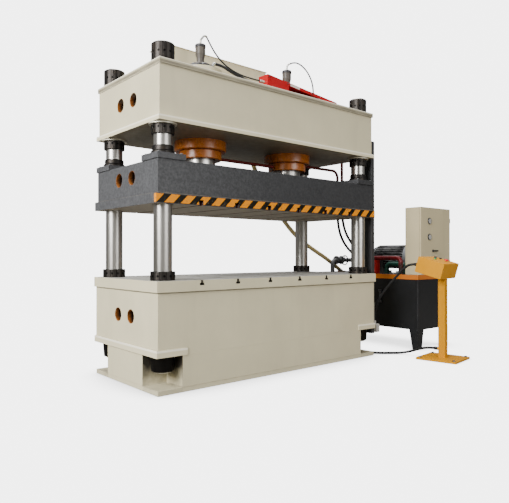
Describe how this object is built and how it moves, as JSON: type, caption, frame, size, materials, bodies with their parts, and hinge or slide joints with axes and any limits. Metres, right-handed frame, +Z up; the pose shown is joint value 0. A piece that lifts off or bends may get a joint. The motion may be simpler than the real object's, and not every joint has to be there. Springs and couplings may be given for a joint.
{
  "type": "hydraulic press",
  "caption": "Four-column hydraulic press with bed, slide and crown, twin cylinders on top, a separate oil tank with motor and valves, a control cabinet and a pedestal operator stand.",
  "frame": {"origin": "middle of the bed's foot plate, on the floor", "axes": "+X along the press towards its power unit, +Y to the back, +Z up"},
  "size_m": [4.305, 2.4438, 3.378],
  "materials": {
    "cream_paint": "satin",
    "machined_steel": "machined",
    "ground_steel": "ground",
    "black_steel": "blackened",
    "orange_paint": "satin",
    "dark_steel": "blackened",
    "red_paint": "gloss",
    "grey_steel": "machined",
    "zinc_steel": "zinc plated",
    "grey_paint": "satin",
    "warning_band": "satin",
    "black_plastic": "matte",
    "black_paint": "satin",
    "silver_paint": "satin",
    "yellow_paint": "gloss",
    "green_plastic": "gloss",
    "red_plastic": "gloss",
    "black_rubber": "matte",
    "cream_hose": "satin"
  },
  "bodies": {
    "frame": {"bed_frame": "cream_paint", "bed_foot": "cream_paint", "bed_table": "machined_steel", "columns": "ground_steel", "bed_nuts": "black_steel", "crown_nuts": "black_steel", "crown_frame": "cream_paint", "crown_top_plate": "cream_paint", "cylinder_barrels": "orange_paint", "gland_rings": "orange_paint", "prefill_valves": "dark_steel", "overflow_tank": "cream_paint", "pipe_guard": "red_paint", "crown_manifold": "grey_steel", "pressure_pipes": "red_paint", "hose_fittings": "zinc_steel", "sensor_post": "black_paint", "post_brackets": "black_paint", "limit_switches": "black_plastic", "oil_tank": "black_paint", "tank_top_plate": "orange_paint", "motor_housing": "silver_paint", "fan_cover": "grey_steel", "pump": "grey_steel", "valve_block": "grey_steel", "solenoid_valves": "black_plastic", "pressure_gauge": "zinc_steel", "line_pipes": "red_paint", "flange_block": "red_paint", "shutoff_valve": "red_paint", "oil_level_gauge": "zinc_steel", "cabinet_body": "cream_paint", "pedestal_stand": "yellow_paint", "console_box": "yellow_paint", "pressure_hose_rear": "black_rubber", "pressure_hose_middle": "black_rubber", "pressure_hose_front": "black_rubber", "return_hose": "cream_hose", "pilot_hose_left": "black_rubber", "pilot_hose_right": "black_rubber", "feed_hose": "black_rubber", "console_cable": "black_rubber", "floor_cable": "black_rubber"},
    "rotor": {"motor_rotor": "ground_steel"},
    "shutoff_wheel": {"handwheel": "black_plastic"},
    "door": {"cabinet_door": "cream_paint", "panel_meters": "black_plastic"},
    "latch": {"door_latch": "black_plastic"},
    "start": {"start_button": "green_plastic"},
    "down": {"down_button": "black_plastic"},
    "emergency_stop": {"estop_button": "red_plastic"},
    "selector": {"mode_selector": "black_plastic"},
    "filler_cap": {"filler_breather": "zinc_steel"},
    "slide": {"slide_frame": "grey_paint", "slide_face_plate": "grey_paint", "guide_flanges": "grey_paint", "guide_sleeves": "black_steel", "warning_strip": "warning_band", "piston_rods": "ground_steel", "switch_flag": "zinc_steel"}
  },
  "joints": [
    {"name": "slide_stroke", "type": "slide", "parent": "frame", "child": "slide", "axis": [0, 0, 1], "range_m": [-0.55, 0.08]},
    {"name": "motor_spin", "type": "hinge", "parent": "frame", "child": "rotor", "pos_m": [2.59, 0, 1.135], "axis": [0, 1, 0], "continuous": true},
    {"name": "handwheel_turn", "type": "hinge", "parent": "frame", "child": "shutoff_wheel", "pos_m": [2.315, 0.588, 1.085], "axis": [0, -1, 0], "continuous": true},
    {"name": "door_hinge", "type": "hinge", "parent": "frame", "child": "door", "pos_m": [2.849, -0.738, 0.915], "axis": [0, 0, 1], "range_deg": [0, 110]},
    {"name": "latch_turn", "type": "hinge", "parent": "door", "child": "latch", "pos_m": [2.431, -0.747, 1.212], "axis": [0, -1, 0], "range_deg": [0, 90]},
    {"name": "start_press", "type": "slide", "parent": "frame", "child": "start", "axis": [0.0397, -0.266, 0.9632], "range_m": [-0.0045, 0], "stiffness_N_per_m": 800, "springref_m": 0.004},
    {"name": "down_press", "type": "slide", "parent": "frame", "child": "down", "axis": [0.0397, -0.266, 0.9632], "range_m": [-0.0045, 0], "stiffness_N_per_m": 800, "springref_m": 0.004},
    {"name": "emergency_stop_press", "type": "slide", "parent": "frame", "child": "emergency_stop", "axis": [0.0397, -0.266, 0.9632], "range_m": [-0.0075, 0]},
    {"name": "selector_turn", "type": "hinge", "parent": "frame", "child": "selector", "pos_m": [1.87008, -1.12031, 1.12262], "axis": [0.0397, -0.266, 0.9632], "range_deg": [-45, 45]},
    {"name": "filler_cap_turn", "type": "hinge", "parent": "frame", "child": "filler_cap", "pos_m": [2.69, 0.56, 0.915], "axis": [0, 0, 1], "range_deg": [0, 90]}
  ]
}
